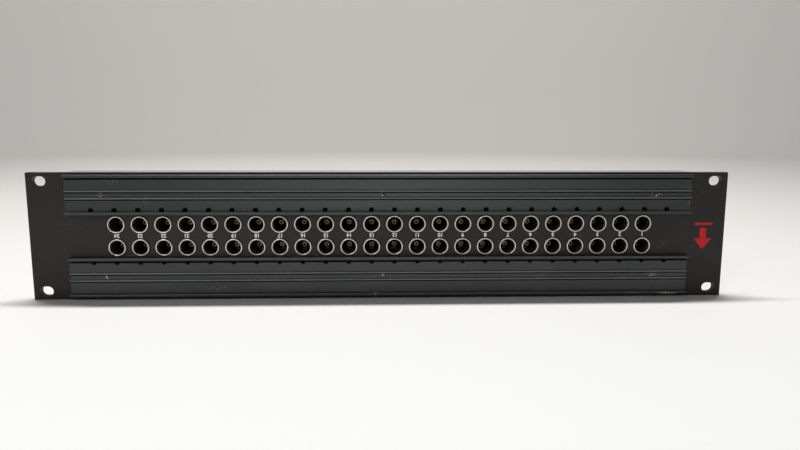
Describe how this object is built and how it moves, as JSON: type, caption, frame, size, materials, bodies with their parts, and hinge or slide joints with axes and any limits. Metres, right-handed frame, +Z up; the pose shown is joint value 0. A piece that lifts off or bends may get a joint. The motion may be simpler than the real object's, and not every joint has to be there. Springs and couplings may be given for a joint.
{
  "type": "coaxial patch bay",
  "caption": "Flat black 19-inch rack panel, two units high, with two rows of nickel coaxial jacks between two ribbed label channels, and plug-in jack modules behind.",
  "frame": {"origin": "middle of the bottom of the bounding box: on the surface the unit stands on, under the middle of its length and halfway through its depth", "axes": "+X to the right as seen from the front, -Y out of the front face towards the user, +Z up; the unit stands on a long edge, turned so that its printed numbers are upside down, as it was seen"},
  "size_m": [0.4826, 0.0874, 0.0881],
  "materials": {
    "panel": "black anodised plate",
    "channel": "satin black anodised extrusion",
    "rail": "plain mill-finish angle",
    "rivet": "blackened, worn",
    "module": "nickel-plated die casting",
    "slide": "moulded insulator"
  },
  "bodies": {
    "chassis": {"front_panel": "panel", "upper_label_channel": "channel", "lower_label_channel": "channel", "upper_frame_rail": "rail", "lower_frame_rail": "rail", "channel_rivet_1": "rivet", "channel_rivet_2": "rivet", "channel_rivet_3": "rivet", "channel_rivet_4": "rivet", "channel_rivet_5": "rivet", "channel_rivet_6": "rivet", "jack_module_01": "module", "jack_module_02": "module", "jack_module_03": "module", "jack_module_04": "module", "jack_module_05": "module", "jack_module_06": "module", "jack_module_07": "module", "jack_module_08": "module", "jack_module_09": "module", "jack_module_10": "module", "jack_module_11": "module", "jack_module_12": "module", "jack_module_13": "module", "jack_module_14": "module", "jack_module_15": "module", "jack_module_16": "module", "jack_module_17": "module", "jack_module_18": "module", "jack_module_19": "module", "jack_module_20": "module", "jack_module_21": "module", "jack_module_22": "module", "jack_module_23": "module", "jack_module_24": "module"},
    "slide_01": {"normalling_slide_01": "slide"},
    "slide_02": {"normalling_slide_02": "slide"},
    "slide_03": {"normalling_slide_03": "slide"},
    "slide_04": {"normalling_slide_04": "slide"},
    "slide_05": {"normalling_slide_05": "slide"},
    "slide_06": {"normalling_slide_06": "slide"},
    "slide_07": {"normalling_slide_07": "slide"},
    "slide_08": {"normalling_slide_08": "slide"},
    "slide_09": {"normalling_slide_09": "slide"},
    "slide_10": {"normalling_slide_10": "slide"},
    "slide_11": {"normalling_slide_11": "slide"},
    "slide_12": {"normalling_slide_12": "slide"},
    "slide_13": {"normalling_slide_13": "slide"},
    "slide_14": {"normalling_slide_14": "slide"},
    "slide_15": {"normalling_slide_15": "slide"},
    "slide_16": {"normalling_slide_16": "slide"},
    "slide_17": {"normalling_slide_17": "slide"},
    "slide_18": {"normalling_slide_18": "slide"},
    "slide_19": {"normalling_slide_19": "slide"},
    "slide_20": {"normalling_slide_20": "slide"},
    "slide_21": {"normalling_slide_21": "slide"},
    "slide_22": {"normalling_slide_22": "slide"},
    "slide_23": {"normalling_slide_23": "slide"},
    "slide_24": {"normalling_slide_24": "slide"}
  },
  "joints": [
    {"name": "slide_01_travel", "type": "slide", "parent": "chassis", "child": "slide_01", "axis": [0, 1, 0], "range_m": [0, 0.0025], "stiffness_N_per_m": 300, "springref_m": -0.002},
    {"name": "slide_02_travel", "type": "slide", "parent": "chassis", "child": "slide_02", "axis": [0, 1, 0], "range_m": [0, 0.0025], "stiffness_N_per_m": 300, "springref_m": -0.002},
    {"name": "slide_03_travel", "type": "slide", "parent": "chassis", "child": "slide_03", "axis": [0, 1, 0], "range_m": [0, 0.0025], "stiffness_N_per_m": 300, "springref_m": -0.002},
    {"name": "slide_04_travel", "type": "slide", "parent": "chassis", "child": "slide_04", "axis": [0, 1, 0], "range_m": [0, 0.0025], "stiffness_N_per_m": 300, "springref_m": -0.002},
    {"name": "slide_05_travel", "type": "slide", "parent": "chassis", "child": "slide_05", "axis": [0, 1, 0], "range_m": [0, 0.0025], "stiffness_N_per_m": 300, "springref_m": -0.002},
    {"name": "slide_06_travel", "type": "slide", "parent": "chassis", "child": "slide_06", "axis": [0, 1, 0], "range_m": [0, 0.0025], "stiffness_N_per_m": 300, "springref_m": -0.002},
    {"name": "slide_07_travel", "type": "slide", "parent": "chassis", "child": "slide_07", "axis": [0, 1, 0], "range_m": [0, 0.0025], "stiffness_N_per_m": 300, "springref_m": -0.002},
    {"name": "slide_08_travel", "type": "slide", "parent": "chassis", "child": "slide_08", "axis": [0, 1, 0], "range_m": [0, 0.0025], "stiffness_N_per_m": 300, "springref_m": -0.002},
    {"name": "slide_09_travel", "type": "slide", "parent": "chassis", "child": "slide_09", "axis": [0, 1, 0], "range_m": [0, 0.0025], "stiffness_N_per_m": 300, "springref_m": -0.002},
    {"name": "slide_10_travel", "type": "slide", "parent": "chassis", "child": "slide_10", "axis": [0, 1, 0], "range_m": [0, 0.0025], "stiffness_N_per_m": 300, "springref_m": -0.002},
    {"name": "slide_11_travel", "type": "slide", "parent": "chassis", "child": "slide_11", "axis": [0, 1, 0], "range_m": [0, 0.0025], "stiffness_N_per_m": 300, "springref_m": -0.002},
    {"name": "slide_12_travel", "type": "slide", "parent": "chassis", "child": "slide_12", "axis": [0, 1, 0], "range_m": [0, 0.0025], "stiffness_N_per_m": 300, "springref_m": -0.002},
    {"name": "slide_13_travel", "type": "slide", "parent": "chassis", "child": "slide_13", "axis": [0, 1, 0], "range_m": [0, 0.0025], "stiffness_N_per_m": 300, "springref_m": -0.002},
    {"name": "slide_14_travel", "type": "slide", "parent": "chassis", "child": "slide_14", "axis": [0, 1, 0], "range_m": [0, 0.0025], "stiffness_N_per_m": 300, "springref_m": -0.002},
    {"name": "slide_15_travel", "type": "slide", "parent": "chassis", "child": "slide_15", "axis": [0, 1, 0], "range_m": [0, 0.0025], "stiffness_N_per_m": 300, "springref_m": -0.002},
    {"name": "slide_16_travel", "type": "slide", "parent": "chassis", "child": "slide_16", "axis": [0, 1, 0], "range_m": [0, 0.0025], "stiffness_N_per_m": 300, "springref_m": -0.002},
    {"name": "slide_17_travel", "type": "slide", "parent": "chassis", "child": "slide_17", "axis": [0, 1, 0], "range_m": [0, 0.0025], "stiffness_N_per_m": 300, "springref_m": -0.002},
    {"name": "slide_18_travel", "type": "slide", "parent": "chassis", "child": "slide_18", "axis": [0, 1, 0], "range_m": [0, 0.0025], "stiffness_N_per_m": 300, "springref_m": -0.002},
    {"name": "slide_19_travel", "type": "slide", "parent": "chassis", "child": "slide_19", "axis": [0, 1, 0], "range_m": [0, 0.0025], "stiffness_N_per_m": 300, "springref_m": -0.002},
    {"name": "slide_20_travel", "type": "slide", "parent": "chassis", "child": "slide_20", "axis": [0, 1, 0], "range_m": [0, 0.0025], "stiffness_N_per_m": 300, "springref_m": -0.002},
    {"name": "slide_21_travel", "type": "slide", "parent": "chassis", "child": "slide_21", "axis": [0, 1, 0], "range_m": [0, 0.0025], "stiffness_N_per_m": 300, "springref_m": -0.002},
    {"name": "slide_22_travel", "type": "slide", "parent": "chassis", "child": "slide_22", "axis": [0, 1, 0], "range_m": [0, 0.0025], "stiffness_N_per_m": 300, "springref_m": -0.002},
    {"name": "slide_23_travel", "type": "slide", "parent": "chassis", "child": "slide_23", "axis": [0, 1, 0], "range_m": [0, 0.0025], "stiffness_N_per_m": 300, "springref_m": -0.002},
    {"name": "slide_24_travel", "type": "slide", "parent": "chassis", "child": "slide_24", "axis": [0, 1, 0], "range_m": [0, 0.0025], "stiffness_N_per_m": 300, "springref_m": -0.002}
  ]
}
